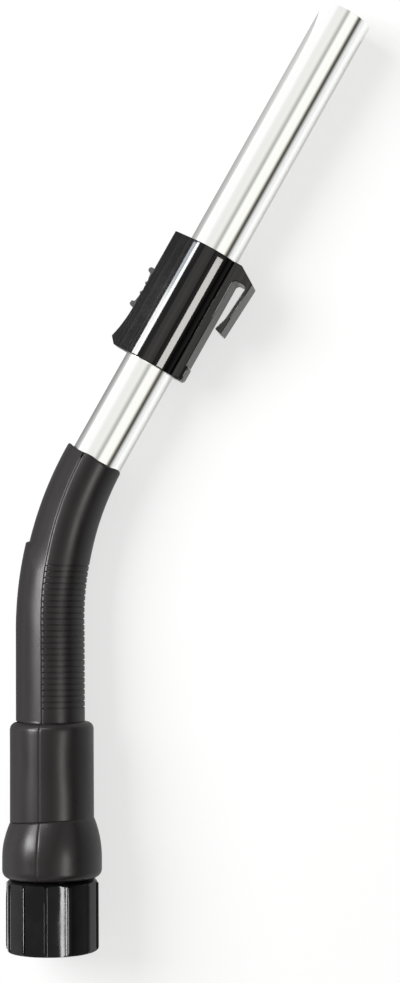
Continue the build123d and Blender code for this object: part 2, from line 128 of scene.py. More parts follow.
def joined(*stretches):
    """One profile of (distance, radius) rows from several stretches."""
    return np.concatenate([np.stack(np.broadcast_arrays(*stretch), axis=-1) for stretch in stretches])


tube_bends = np.linspace(BEND_START, bend_end, BEND_ROWS)
edge_cos, edge_sin = arc(EDGE_ROWS, 0, np.pi / 2)
tube_outside = joined(
    ([TUBE_FOOT], TUBE_RADIUS),
    (tube_bends, TUBE_RADIUS),
    (tube_end - TUBE_EDGE + TUBE_EDGE * edge_sin, TUBE_RADIUS - TUBE_EDGE + TUBE_EDGE * edge_cos),
    ([tube_end], TUBE_RADIUS - TUBE_WALL),
    (tube_bends[::-1], TUBE_RADIUS - TUBE_WALL),
    ([TUBE_FOOT], TUBE_RADIUS - TUBE_WALL),
)
tube_grid = round_centreline(tube_outside[:, :1], tube_outside[:, 1:], full_turn(TUBE_COLUMNS))
tube = smooth_piece("chromed_tube", closed_mesh("chromed_tube", tube_grid))
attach(tube, "handle")
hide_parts("steel_tube")


def new_material(name, color, roughness, metallic=0.0):
    """A material with its Principled shader, and the tree to add to."""
    material = bpy.data.materials.new(name)
    material.use_nodes = True
    tree = material.node_tree
    shader = tree.nodes["Principled BSDF"]
    shader.inputs["Base Color"].default_value = (*color, 1)
    shader.inputs["Roughness"].default_value = roughness
    shader.inputs["Metallic"].default_value = metallic
    return material, tree, shader


def add_node(tree, kind, **settings):
    """A node with its properties and its unlinked inputs set by name."""
    node = tree.nodes.new(kind)
    for key, value in settings.items():
        if key in node.inputs:
            node.inputs[key].default_value = value
        else:
            setattr(node, key, value)
    return node


def paint(piece, material):
    """Give a piece one material."""
    piece.data.materials.clear()
    piece.data.materials.append(material)


CHROME_COLOR = (0.95, 0.95, 0.94)
CHROME_ROUGHNESS = 0.09
CLEAR_CHROME = 0.05
HAZY_CHROME = 0.17
DRAWN_LINES = (900, 14, 900)

chrome, chrome_tree, chrome_shader = new_material("bright_chrome", CHROME_COLOR, CHROME_ROUGHNESS, 1.0)
chrome_place = add_node(chrome_tree, "ShaderNodeTexCoord")
chrome_stretch = add_node(chrome_tree, "ShaderNodeMapping", Scale=DRAWN_LINES)
chrome_lines = add_node(chrome_tree, "ShaderNodeTexNoise", Scale=1.0, Detail=4.0, Roughness=0.6)
chrome_haze = add_node(chrome_tree, "ShaderNodeMapRange")
chrome_haze.inputs["To Min"].default_value = CLEAR_CHROME
chrome_haze.inputs["To Max"].default_value = HAZY_CHROME
chrome_bump = add_node(chrome_tree, "ShaderNodeBump", Strength=0.05, Distance=0.0001)
chrome_tree.links.new(chrome_place.outputs["Object"], chrome_stretch.inputs["Vector"])
chrome_tree.links.new(chrome_stretch.outputs["Vector"], chrome_lines.inputs["Vector"])
chrome_tree.links.new(chrome_lines.outputs["Fac"], chrome_haze.inputs["Value"])
chrome_tree.links.new(chrome_haze.outputs["Result"], chrome_shader.inputs["Roughness"])
chrome_tree.links.new(chrome_lines.outputs["Fac"], chrome_bump.inputs["Height"])
chrome_tree.links.new(chrome_bump.outputs["Normal"], chrome_shader.inputs["Normal"])
paint(tube, chrome)


# Swivel sleeve, retaining ring, seal and shutter
# Working pieces inside the cuff and the collar: hard plastic sleeve, split ring and valve plate, and a
# rubber seal. They keep their true solids, with a satin moulded finish.
def moulded_skin():
    """Node group for moulded plastic: a fine grain as height, and slow cloudy changes of gloss."""
    group = bpy.data.node_groups.new("moulded_skin", "ShaderNodeTree")
    for name in ("Grain Scale", "Low Roughness", "High Roughness"):
        group.interface.new_socket(name, in_out="INPUT", socket_type="NodeSocketFloat")
    for name in ("Roughness", "Grain"):
        group.interface.new_socket(name, in_out="OUTPUT", socket_type="NodeSocketFloat")
    entry = add_node(group, "NodeGroupInput")
    leave = add_node(group, "NodeGroupOutput")
    place = add_node(group, "ShaderNodeTexCoord")
    grain = add_node(group, "ShaderNodeTexNoise", Detail=3.0, Roughness=0.55)
    clouds = add_node(group, "ShaderNodeTexNoise", Scale=45.0, Detail=5.0, Roughness=0.6)
    spread = add_node(group, "ShaderNodeMapRange")
    spread.inputs["From Min"].default_value = 0.3
    spread.inputs["From Max"].default_value = 0.7
    group.links.new(place.outputs["Object"], grain.inputs["Vector"])
    group.links.new(place.outputs["Object"], clouds.inputs["Vector"])
    group.links.new(entry.outputs["Grain Scale"], grain.inputs["Scale"])
    group.links.new(clouds.outputs["Fac"], spread.inputs["Value"])
    group.links.new(entry.outputs["Low Roughness"], spread.inputs["To Min"])
    group.links.new(entry.outputs["High Roughness"], spread.inputs["To Max"])
    group.links.new(spread.outputs["Result"], leave.inputs["Roughness"])
    group.links.new(grain.outputs["Fac"], leave.inputs["Grain"])
    return group


skin_group = moulded_skin()


def moulding_material(name, color, low, high, grain_scale, grain_depth):
    """Moulded plastic or rubber: plain colour, with the skin group's cloudy gloss and fine grain."""
    material, tree, shader = new_material(name, color, low)
    skin = add_node(tree, "ShaderNodeGroup", node_tree=skin_group)
    skin.inputs["Grain Scale"].default_value = grain_scale
    skin.inputs["Low Roughness"].default_value = low
    skin.inputs["High Roughness"].default_value = high
    bump = add_node(tree, "ShaderNodeBump", Strength=0.4, Distance=grain_depth)
    tree.links.new(skin.outputs["Roughness"], shader.inputs["Roughness"])
    tree.links.new(skin.outputs["Grain"], bump.inputs["Height"])
    tree.links.new(bump.outputs["Normal"], shader.inputs["Normal"])
    return material, tree, shader


inner_plastic = moulding_material("inner_plastic", (0.05, 0.05, 0.052), 0.35, 0.5, 1500.0, 0.00002)[0]
seal_rubber = moulding_material("seal_rubber", (0.02, 0.02, 0.02), 0.5, 0.65, 1800.0, 0.00002)[0]
for name in ("swivel_sleeve", "retaining_ring", "shutter_plate"):
    paint(nodes[name], inner_plastic)
paint(nodes["seal_ring"], seal_rubber)


# Hose connector
# Gloss black moulding that turns in the ball end. Flat panels stand between narrow ribs, the mouth is
# rounded, and the hose's end pushes into the socket. Its neck runs up inside the sleeve.
CONNECTOR_LENGTH = 0.043
CONNECTOR_PANEL = 0.0267
CONNECTOR_SIDES = 12
CONNECTOR_TURN = np.radians(-2.5)
PANEL_CROWN = 0.00025
RIB_RADIUS = 0.0282
RIB_HALF = 0.0008
RIB_RUN_OUT = 1.25
RIB_SLOPE = 0.5
MOUTH_ROUND = 0.0026
SHOULDER_BEVEL = 0.0026
HOSE_RADIUS = 0.0225
HOSE_DEPTH = 0.036
NECK_RADIUS = 0.0196
NECK_BORE = 0.0164
NECK_LENGTH = 0.047
ROUND_ROWS = 9

rib_pitch = 2 * np.pi / CONNECTOR_SIDES
rib_reach = RIB_HALF / RIB_RADIUS
rib_columns = rib_reach * np.array([-1.5, -1.2, -1.0, -0.8, -0.4, 0.0, 0.4, 0.8, 1.0, 1.2, 1.5])
panel_columns = np.linspace(1.5 * rib_reach, rib_pitch - 1.5 * rib_reach, 12)[1:-1]
one_panel = np.concatenate([rib_columns, panel_columns])
from_rib = np.tile(one_panel, CONNECTOR_SIDES)
connector_angle = from_rib + np.repeat(rib_pitch * np.arange(CONNECTOR_SIDES), len(one_panel))
off_rib = np.minimum(from_rib % rib_pitch, -from_rib % rib_pitch)


def eased(share):
    """A share from 0 to 1 that starts and ends gently: three times its square less twice its cube."""
    share = np.clip(share, 0, 1)
    return share**2 * (3 - 2 * share)


def ribbed_section():
    """Radius of the ribbed outside: each panel is a straight line, which is its distance from the axis
    over the cosine of the angle from its middle, crowned a little by a parabola, and a narrow rib with
    rounded edges stands on each corner."""
    off_middle = rib_pitch / 2 - off_rib
    crown = PANEL_CROWN * (1 - (2 * off_middle / rib_pitch) ** 2)
    panel = CONNECTOR_PANEL / np.cos(off_middle) + crown - PANEL_CROWN / 2
    rise = eased((RIB_RUN_OUT - off_rib / rib_reach) / RIB_SLOPE)
    return panel + (RIB_RADIUS - panel) * rise


round_cos, round_sin = arc(ROUND_ROWS, 0, np.pi / 2)
side_heights = np.linspace(CONNECTOR_LENGTH - SHOULDER_BEVEL, MOUTH_ROUND, 5)
bevel_share = np.linspace(0, 1, ROUND_ROWS)[1:]
neck_top = CONNECTOR_LENGTH + NECK_LENGTH
connector_rows = joined(
    ([neck_top, CONNECTOR_LENGTH], NECK_RADIUS),
    (CONNECTOR_LENGTH, np.linspace(NECK_RADIUS, RIB_RADIUS - SHOULDER_BEVEL, 3)[1:]),
    (CONNECTOR_LENGTH - SHOULDER_BEVEL * bevel_share, RIB_RADIUS - SHOULDER_BEVEL * (1 - bevel_share)),
    (side_heights[1:], RIB_RADIUS),
    (MOUTH_ROUND * (1 - round_sin[1:]), RIB_RADIUS - MOUTH_ROUND * (1 - round_cos[1:])),
    ([0, HOSE_LEAD, HOSE_DEPTH], [HOSE_RADIUS + HOSE_LEAD, HOSE_RADIUS, HOSE_RADIUS]),
    ([HOSE_DEPTH, neck_top], NECK_BORE),
)
connector_radius = np.minimum(connector_rows[:, 1:], ribbed_section())
connector_turned = connector_angle + CONNECTOR_TURN - np.pi / 2
connector_grid = round_centreline(connector_rows[:, :1], connector_radius, connector_turned)
connector = smooth_piece("ribbed_connector", closed_mesh("ribbed_connector", connector_grid), 0.5)
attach(connector, "connector")
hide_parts("hose_connector")


DEEP_BLACK = (0.0036, 0.0034, 0.0036)
GLOSS_MIRROR = 0.145


def gloss_black(name, wave_scale, wave_depth, sheen_streak):
    """Polished black plastic, which mirrors little but the lamps. The moulding's sink shows as slow waves,
    and paler streaks of painted reflection in the base colour follow them, stretched along the tube by their
    scale."""
    material, tree, shader = moulding_material(name, DEEP_BLACK, 0.05, 0.1, 700.0, 0.00001)
    shader.inputs["Specular IOR Level"].default_value = GLOSS_MIRROR
    place = add_node(tree, "ShaderNodeTexCoord")
    stretch = add_node(tree, "ShaderNodeMapping", Scale=wave_scale)
    waves = add_node(tree, "ShaderNodeTexNoise", Scale=1.0, Detail=2.0)
    sink = add_node(tree, "ShaderNodeBump", Strength=1.0, Distance=wave_depth)
    # Paler streaks painted into the base colour on the waves' pattern: a painted reflection.
    painted_sheen = add_node(tree, "ShaderNodeValToRGB")
    painted_sheen.color_ramp.elements[0].position = 0.5
    painted_sheen.color_ramp.elements[0].color = (*DEEP_BLACK, 1)
    painted_sheen.color_ramp.elements[1].position = 0.75
    painted_sheen.color_ramp.elements[1].color = (*sheen_streak, 1)
    grain = shader.inputs["Normal"].links[0].from_node
    tree.links.new(place.outputs["Object"], stretch.inputs["Vector"])
    tree.links.new(stretch.outputs["Vector"], waves.inputs["Vector"])
    tree.links.new(waves.outputs["Fac"], sink.inputs["Height"])
    tree.links.new(waves.outputs["Fac"], painted_sheen.inputs["Fac"])
    tree.links.new(painted_sheen.outputs["Color"], shader.inputs["Base Color"])
    tree.links.new(sink.outputs["Normal"], grain.inputs["Normal"])
    return material


# The connector's last colour is its painted reflection streak.
paint(connector, gloss_black("connector_black", (70, 45, 70), 0.00005, (0.009, 0.008, 0.009)))


# Hand grip
# One soft black moulding, pushed over the tube and the swivel sleeve: a handle with finger grooves and a
# smooth raised back, a straight cuff, and the ball that the connector turns in, which leans a little.
BALL_RADIUS = 0.0301
RIM_ROUND = 0.005
BALL_FOOT = 0.0437
BALL_WIDEST = 0.012
BALL_HEIGHT = 0.0355
BALL_LEAN = 0.0013
BALL_SAG = 0.0009
LIP_RADIUS = 0.0206
CUFF_RADIUS = 0.0254
CUFF_HEIGHT = 0.0582
CUFF_ROUND = 0.0045
HOLLOW_DEPTH = 0.0005
HOLLOW_PLACE = 0.036
HOLLOW_LENGTH = 0.015
HOLLOW_TURN = np.radians(46)
HOLLOW_WIDTH = 0.009
GRIP_FOOT_RADIUS = 0.0201
GRIP_TOP_RADIUS = 0.0185
GRIP_SHIFT = 0.0018
GRIP_LENGTH = 0.1643
GRIP_BORE = 0.01605
GRIP_EDGE = 0.0008
TOP_WAVE = 0.0006
PAD_RISE = 0.002
PAD_LENGTH = 0.1053
PAD_END = 0.0012
PAD_FADE = 0.012
PALM_SINK = 0.0019
PALM_EASE = 0.006
SEAM_FOOT = 0.0023
SEAM_TOP = 0.0044
SEAM_STEP = 0.0002
SEAM_DEPTH = 0.0003
SEAM_WIDTH = 0.0004
NOTCH_WIDTH = 0.0013
NOTCH_LENGTH = 0.005
NOTCH_DEPTH = 0.0015
GROOVE_COUNT = 25
GROOVE_PITCH = 0.00355
GROOVE_WIDTH = 0.0009
GROOVE_DEPTH = 0.0006
GROOVE_FIRST = 0.0089
GROOVE_LAND = 0.0004
GROOVE_DEEPER = 1.2
GROOVE_FADE = 0.004
LEVEL_FADE = 0.03
CREASE_DEPTH = 0.0005
CREASE_WIDTH = 0.0007
FINGER_COLUMNS = 70
PALM_COLUMNS = 58

ball_top = BALL_FOOT + BALL_HEIGHT
cuff_top = ball_top + CUFF_HEIGHT
grip_top = cuff_top + GRIP_LENGTH
pad_top = cuff_top + PAD_LENGTH


def grip_share(distance):
    """How far the grip has narrowed, 0 at the bend's start to 1 at its top end."""
    return np.clip((distance - BEND_START) / (grip_top - BEND_START), 0, 1)


def arc_through(start, middle, stop, count):
    """Points of the arc through three points, by its centre, which is as far from all three."""
    a, b, c = (np.array(point) for point in (start, middle, stop))
    sides = 2 * np.array([b - a, c - a])
    centre = np.linalg.solve(sides, [b @ b - a @ a, c @ c - a @ a])
    angles = np.unwrap([np.arctan2(*(point - centre)[::-1]) for point in (a, b, c)])
    swept = np.linspace(angles[0], angles[2], count)
    reach = np.hypot(*(a - centre))
    return centre[0] + reach * np.cos(swept), centre[1] + reach * np.sin(swept)


groove_heights = cuff_top + GROOVE_FIRST + GROOVE_PITCH * np.arange(GROOVE_COUNT)
groove_rows = GROOVE_WIDTH * np.array([-0.9, -0.5, -0.3, 0.0, 0.3, 0.5, 0.9])
ribbed_heights = (groove_heights[:, None] + groove_rows).ravel()
plain_heights = np.concatenate([
    np.linspace(cuff_top + CREASE_WIDTH, ribbed_heights[0], 12)[:-1],
    np.linspace(ribbed_heights[-1], pad_top - PAD_END, 6)[1:],
    pad_top - PAD_END + PAD_END * np.linspace(0, 1, 5)[1:],
    np.linspace(pad_top, grip_top - NOTCH_LENGTH, 40)[1:],
    np.linspace(grip_top - NOTCH_LENGTH, grip_top - GRIP_EDGE, 8)[1:],
])
handle_heights = np.sort(np.concatenate([ribbed_heights, plain_heights]))[::-1]
handle_radius = GRIP_FOOT_RADIUS + (GRIP_TOP_RADIUS - GRIP_FOOT_RADIUS) * grip_share(handle_heights)
top_round = GRIP_TOP_RADIUS - GRIP_EDGE + GRIP_EDGE * edge_cos
cuff_foot = cuff_top - CUFF_ROUND
ball_side = BALL_FOOT + BALL_WIDEST
ball_drop = BALL_RADIUS - CUFF_RADIUS
ball_arc = (ball_drop**2 + (ball_top - ball_side) ** 2) / (2 * ball_drop)
ball_heights = np.linspace(ball_top - CREASE_WIDTH / 2, ball_side, 28)
crease_heights = ball_top + CREASE_WIDTH / 2 * np.array([2.0, 1.0, 0.0])
grip_rows = joined(
    (np.linspace(TUBE_FOOT, grip_top, 48), GRIP_BORE),
    ((grip_top - GRIP_EDGE + GRIP_EDGE * edge_sin)[::-1], top_round[::-1]),
    (handle_heights[1:], handle_radius[1:]),
    ([cuff_top - CREASE_DEPTH], GRIP_FOOT_RADIUS),
    (cuff_foot + CUFF_ROUND * round_sin[::-1], CUFF_RADIUS - CUFF_ROUND + CUFF_ROUND * round_cos[::-1]),
    (np.linspace(cuff_foot, crease_heights[0], 24)[1:], CUFF_RADIUS),
    (crease_heights[1:], CUFF_RADIUS),
    (ball_heights, BALL_RADIUS - ball_arc + np.sqrt(ball_arc**2 - (ball_heights - ball_side) ** 2)),
    (np.linspace(ball_side, BALL_FOOT + RIM_ROUND, 8)[1:], BALL_RADIUS),
    (BALL_FOOT + RIM_ROUND * (1 - round_sin[1:]), BALL_RADIUS - RIM_ROUND * (1 - round_cos[1:])),
    (BALL_FOOT, [LIP_RADIUS]),
    ([BALL_FOOT + RIM_ROUND, TUBE_FOOT], LIP_RADIUS),
)
grip_height = grip_rows[:, :1]
grip_base = grip_rows[:, 1:]
outside = grip_base > GRIP_BORE + GRIP_EDGE
on_handle = outside & (grip_height > cuff_top + CREASE_WIDTH / 2)

seam_share = (SEAM_FOOT + (SEAM_TOP - SEAM_FOOT) * grip_share(grip_height)) / GRIP_FOOT_RADIUS
seam_place = seam_share * grip_base
seam_angle = np.arccos(-seam_share)
seam_steps = np.array([-3.0, -1.5, -0.5, 0.0, 0.5, 1.5, 3.0]) * SEAM_WIDTH / GRIP_FOOT_RADIUS
finger_share = np.linspace(-1, 1, FINGER_COLUMNS + 2)[1:-1]
palm_share = np.linspace(-1, 1, PALM_COLUMNS + 2)[1:-1]
clear_of_seam = seam_steps[-1]
finger_angle = (seam_angle - clear_of_seam) * finger_share
palm_angle = np.pi + (np.pi - seam_angle - clear_of_seam) * palm_share
grip_angle = np.concatenate(
    [finger_angle, seam_angle + seam_steps, palm_angle, 2 * np.pi - seam_angle + seam_steps], axis=1
)


def short_turn(angle):
    """The size of an angle by the shorter way round, up to half a turn."""
    return np.abs((angle + np.pi) % (2 * np.pi) - np.pi)


def raised_back():
    """How far the palm side stands out from the round section: it follows the circle through the two
    seams, each a step proud, and the back, which is raised most. Its upper end slopes in, steeply at the
    back and slowly by the seams."""
    back = grip_base + PAD_RISE
    half = np.sqrt(grip_base**2 - seam_place**2) + SEAM_STEP
    centre = (half**2 + seam_place**2 - back**2) / (2 * (back - seam_place))
    reach = centre + back
    outline = centre * np.cos(grip_angle) + np.sqrt(reach**2 - (centre * np.sin(grip_angle)) ** 2)
    palm_side = np.cos(grip_angle) < -seam_place / grip_base + 1e-6
    by_seam = eased(2 + 2 * np.cos(grip_angle))
    below_end = np.clip((pad_top - grip_height) / (PAD_END + PAD_FADE * by_seam), 0, 1)
    return np.where(palm_side, outline - grip_base, 0) * below_end


def flatter_palm():
    """How far the palm side falls inside the round section: quickly from the seams, as one less a falling
    exponential of the distance from them, and back to nothing at the back, by a parabola."""
    past_seam = np.maximum(short_turn(grip_angle) - seam_angle, 0)
    quick = 1 - np.exp(-past_seam * grip_base / PALM_EASE)
    return PALM_SINK * quick * (1 - (past_seam / (np.pi - seam_angle)) ** 2)


def finger_grooves():
    """Depth of the finger grooves: flat-bottomed with sloping sides, running from seam to seam round the
    finger side and fading out over a short land. They deepen towards the seams, by a falling
    exponential."""
    off_middle = np.min(np.abs(grip_height - groove_heights), axis=1, keepdims=True)
    cross = np.clip((0.5 * GROOVE_WIDTH - off_middle) / (0.1 * GROOVE_WIDTH), 0, 1)
    land = seam_angle - short_turn(grip_angle)
    from_seam = np.maximum(land, 0) * grip_base
    depth = GROOVE_DEPTH * (1 + GROOVE_DEEPER * np.exp(-from_seam / GROOVE_FADE))
    return depth * cross * eased(from_seam / GROOVE_LAND - 1)


def mould_seam():
    """A fine line along the two mould seams, deepest in its middle, and at the top end a V-shaped split
    that widens steadily to the edge."""
    off_seam = np.abs(short_turn(grip_angle) - seam_angle) * grip_base
    line = SEAM_DEPTH * np.clip(1 - off_seam / SEAM_WIDTH, 0, 1)
    notch_half = NOTCH_WIDTH / 2 * np.clip(1 - (grip_top - grip_height) / NOTCH_LENGTH, 0, 1)
    return np.where(off_seam < notch_half, NOTCH_DEPTH, line)


def ball_crease():
    """Depth of the crease over the ball, full on the palm side and faint on the hook side."""
    return np.where(grip_height == ball_top, CREASE_DEPTH * eased(0.75 - 0.5 * np.cos(grip_angle)), 0)


def cuff_hollows():
    """Depth of the shallow hollows in the cuff's flanks, where the soft wall sinks in over the sleeve's
    narrow end: a bell curve along the cuff times one across it, at a turn to each side of front and back."""
    off_front = np.arccos(np.clip(np.abs(np.sin(grip_angle)), 0, 1))
    across = (off_front - HOLLOW_TURN) * CUFF_RADIUS / HOLLOW_WIDTH
    along = (grip_height - ball_top - HOLLOW_PLACE) / HOLLOW_LENGTH
    on_cuff = (grip_height > ball_top) & (grip_height < cuff_top)
    return on_cuff * HOLLOW_DEPTH * np.exp(-(across**2) - along**2)


def levelled():
    """How far a row of the finger side moves along the tube to lie level across the lower axis: past the
    bend's start a point's level is the sine of its turn times its distance from the bend's centre."""
    toward_hook = np.cos(grip_angle)
    level = np.maximum(grip_height - BEND_START, 0)
    turn = np.arcsin(level / (BEND_RADIUS - grip_base * toward_hook))
    finger_side = eased((toward_hook + 0.6) / 0.4)
    by_grooves = eased(1 - (grip_height - groove_heights[-1] - GROOVE_PITCH) / LEVEL_FADE)
    return (BEND_RADIUS * turn - level) * finger_side * by_grooves


def leaning_height():
    """Heights along the tube: the ball's upper edge leans, higher to the hook side by the cosine of the
    angle and a little lower to both sides by its square, fading out up the cuff and down the ball. The
    grooves lie level, and the grip's top edge is not quite straight, by a slow wave."""
    toward_hook = np.cos(grip_angle)
    lean = BALL_LEAN * toward_hook - BALL_SAG * toward_hook**2
    up_cuff = eased((cuff_foot - grip_height) / (cuff_foot - ball_top))
    down_ball = eased((grip_height - ball_side) / (ball_top - ball_side))
    near_top = eased(1 - (grip_top - grip_height) / (2 * NOTCH_LENGTH))
    wave = TOP_WAVE * near_top * np.sin(5 * grip_angle)
    return grip_height + outside * (lean * up_cuff * down_ball + wave + levelled())


grip_dents = mould_seam() + ball_crease() + cuff_hollows()
grip_relief = raised_back() - flatter_palm() - finger_grooves()
grip_radius = grip_base + on_handle * grip_relief - outside * grip_dents
grip_shift = -GRIP_SHIFT * grip_share(grip_height) * outside
grip_grid = round_centreline(leaning_height(), grip_radius, grip_angle, grip_shift)
grip = smooth_piece("soft_grip", closed_mesh("soft_grip", grip_grid), 0.7)
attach(grip, "handle")
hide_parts("hand_grip")

SOFT_BLACK = (0.0112, 0.0088, 0.0095)
SOFT_MIRROR = 0.26

soft_grip, _, soft_shader = moulding_material("soft_grip", SOFT_BLACK, 0.27, 0.35, 1600.0, 0.00003)
soft_shader.inputs["Specular IOR Level"].default_value = SOFT_MIRROR
paint(grip, soft_grip)


# Clip collar
# Gloss black moulding fixed on the tube by a pip. A slide housing grows out of its ring on the palm side,
# and the opposite side has a rail with a small catch and the hook that parks the handle.
COLLAR_FOOT = 0.068
COLLAR_LENGTH = 0.0787
COLLAR_RADIUS = 0.0194
COLLAR_EDGE = 0.0005
FACE_REACH = 0.0258
FACE_WIDTH = 0.012
FACE_EDGE = 0.0008
FLARE_REACH = 0.0033
FLARE_HEIGHT = 0.026
FLARE_BOW = 0.0008
FLARE_CHAMFER = 0.0042
SLIDE_PLACE = 0.0258
SLIDE_LENGTH = 0.0266
SLIDE_WIDTH = 0.0086
SLIDE_TRAVEL = 0.015
TRACK_DEPTH = 0.0012
TRACK_ROOM = 0.00035
WALL_STEP = 0.00003
WALL_TURN = 0.002
FLARE_ROWS = 24

collar_foot = bend_end + COLLAR_FOOT
half_face = FACE_WIDTH / 2
flat_lean = np.arctan2(half_face, FACE_REACH) + np.arccos(COLLAR_RADIUS / np.hypot(half_face, FACE_REACH))
flare_end = FACE_REACH + FLARE_REACH
flare_reach, flare_height = arc_through(
    (flare_end, FLARE_CHAMFER),
    (FACE_REACH + FLARE_BOW, (FLARE_HEIGHT + FLARE_CHAMFER) / 2),
    (FACE_REACH, FLARE_HEIGHT),
    FLARE_ROWS,
)
track_low = SLIDE_PLACE - TRACK_ROOM
track_high = SLIDE_PLACE + SLIDE_LENGTH + SLIDE_TRAVEL + TRACK_ROOM
track_half = SLIDE_WIDTH / 2 + TRACK_ROOM

collar_heights = np.concatenate([
    np.linspace(COLLAR_EDGE, FLARE_CHAMFER, 8)[:-1],
    flare_height,
    [track_low - WALL_STEP, track_low + WALL_STEP, track_high - WALL_STEP, track_high + WALL_STEP],
    np.linspace(FLARE_HEIGHT, COLLAR_LENGTH - COLLAR_EDGE, 20)[1:],
])
collar_heights = np.unique(np.round(collar_heights, 7))
rim_in = COLLAR_EDGE * (1 - round_cos)
rim_up = COLLAR_EDGE * (1 - round_sin)
collar_rows = joined(
    (collar_heights, 0.0),
    (COLLAR_LENGTH - rim_up[1:], rim_in[1:]),
    ([COLLAR_LENGTH, 0.0], 1.0),
    (rim_up[::-1][:-1], rim_in[::-1][:-1]),
)
collar_height = collar_rows[:, :1]
collar_inset = collar_rows[:, 1:]
track_turn = np.arctan2(track_half, FACE_REACH)
face_turn = np.arctan2(half_face, FACE_REACH)
flat_turn = np.pi - flat_lean
palm_columns = np.concatenate([
    np.linspace(0, track_turn - WALL_TURN, 8),
    np.linspace(track_turn + WALL_TURN, face_turn * 1.3, 14),
    np.linspace(face_turn * 1.3, np.pi - flat_turn, 16)[1:],
])
ring_columns = np.linspace(np.pi - flat_turn, np.pi, 60)[1:]
half_columns = np.concatenate([palm_columns, ring_columns])
collar_angle = np.pi + np.concatenate([half_columns, -half_columns[1:-1][::-1]])
off_palm = np.pi - short_turn(collar_angle)


def soft_min(a, b, radius):
    """The smaller of two reaches, rounded where they cross within a radius of each other."""
    share = np.clip(0.5 + (b - a) / (2 * radius), 0, 1)
    return b + (a - b) * share - radius * share * (1 - share)


def housing_reach():
    """Reach of the collar's outside: a ring, from which flat sides run tangent towards the palm side until
    they meet the slide face. A flat side's reach is the ring's radius over the cosine of the angle from
    its own normal. The face flares out to a bevelled lower end, and holds the slide's shallow track."""
    flare = np.interp(collar_height, flare_height, flare_reach)
    bevel = flare_end - FLARE_CHAMFER + collar_height
    face = np.minimum(flare, bevel) / np.maximum(np.cos(off_palm), 0.2)
    flat_side = COLLAR_RADIUS / np.cos(np.clip(flat_lean - off_palm, 0, 1.4))
    outside = soft_min(face, flat_side, FACE_EDGE)
    off_middle = np.abs(collar_height - (track_low + track_high) / 2)
    in_track = (off_palm < track_turn) & (off_middle < (track_high - track_low) / 2)
    track = (FACE_REACH - TRACK_DEPTH) / np.cos(np.minimum(off_palm, track_turn))
    housing = np.where(off_palm < flat_lean, outside, COLLAR_RADIUS)
    return np.where(in_track, track, housing)


collar_reach = np.where(collar_inset > COLLAR_RADIUS, GRIP_BORE, housing_reach() - collar_inset)
collar_grid = round_centreline(collar_foot + collar_height, collar_reach, collar_angle)
collar = smooth_piece("collar_housing", closed_mesh("collar_housing", collar_grid), 0.6)
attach(collar, "handle")
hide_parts("clip_collar")
# The collar's last colour is its painted reflection streak.
collar_black = gloss_black("collar_black", (420, 6, 420), 0.000006, (0.016, 0.014, 0.014))
paint(collar, collar_black)

RAIL_REACH = 0.0214
RAIL_WIDTH = 0.024
HOOK_REACH = 0.0326
HOOK_ARM = 0.0028
HOOK_LEAN = 0.002
HOOK_SHOULDER = 0.007
HOOK_TIP = 0.0365
HOOK_TIP_GAP = 0.0046
HOOK_FOOT = 0.009
SLOT_DROP = 0.0097
SLOT_ROUND = 0.0024
CATCH_RISE = 0.0014
CATCH_WIDTH = 0.015
CATCH_HEIGHT = 0.0104
BEVEL_STEPS = 3
BEVEL_ANGLE = np.radians(25)
SLOT_ROWS = 7


def plate_mesh(name, outline, width):
    """A plate by the collar: an outline of (reach, height) points, carried across the bend plane from one
    side of its width to the other, with a face on each side."""
    reach, height = np.array(outline).T
    points, across = centreline(collar_foot + height)
    middle = points + reach[:, None] * across
    count = len(reach)
    corners = np.concatenate([middle - width / 2 * front_way, middle + width / 2 * front_way])
    here = np.arange(count)
    after = np.roll(here, -1)
    walls = np.stack([here, after, after + count, here + count], axis=-1)
    mesh = bpy.data.meshes.new(name)
    faces = [here[::-1].tolist(), (here + count).tolist(), *walls.tolist()]
    mesh.from_pydata(corners, [], faces)
    return mesh


def bevelled_plate(name, outline, width, bevel):
    """A plate with its edges rounded, but for the shallow ones along its curves."""
    piece = smooth_piece(name, plate_mesh(name, outline, width), 0.5)
    rounding = piece.modifiers.new("edges", "BEVEL")
    rounding.width = bevel
    rounding.segments = BEVEL_STEPS
    rounding.angle_limit = BEVEL_ANGLE
    return piece


slot_top = COLLAR_LENGTH - SLOT_DROP
arm_inner = HOOK_REACH - HOOK_ARM
foot = HOOK_TIP + HOOK_FOOT
foot_inner = arm_inner - HOOK_LEAN * (slot_top - foot) / (slot_top - HOOK_TIP)
tip_inner = RAIL_REACH + HOOK_TIP_GAP
corner_cos, corner_sin = arc(SLOT_ROWS, 0, np.pi / 2)
slot_left = np.stack([
    RAIL_REACH + SLOT_ROUND - SLOT_ROUND * corner_cos, slot_top - SLOT_ROUND + SLOT_ROUND * corner_sin
], axis=-1)
slot_right = np.stack([
    arm_inner - SLOT_ROUND + SLOT_ROUND * corner_sin, slot_top - SLOT_ROUND + SLOT_ROUND * corner_cos
], axis=-1)
hook_outline = [
    (TUBE_RADIUS + TUBE_EDGE, COLLAR_EDGE),
    (RAIL_REACH, COLLAR_EDGE),
    *slot_left,
    *slot_right,
    (foot_inner, foot),
    (tip_inner, HOOK_TIP + HOOK_LEAN),
    (tip_inner, HOOK_TIP + HOOK_LEAN / 2),
    (HOOK_REACH - HOOK_LEAN, HOOK_TIP),
    (HOOK_REACH, COLLAR_LENGTH - HOOK_SHOULDER),
    (RAIL_REACH, COLLAR_LENGTH),
    (TUBE_RADIUS + TUBE_EDGE, COLLAR_LENGTH),
]
hook = bevelled_plate("collar_hook", hook_outline, RAIL_WIDTH, COLLAR_EDGE)
catch_reach = RAIL_REACH + CATCH_RISE
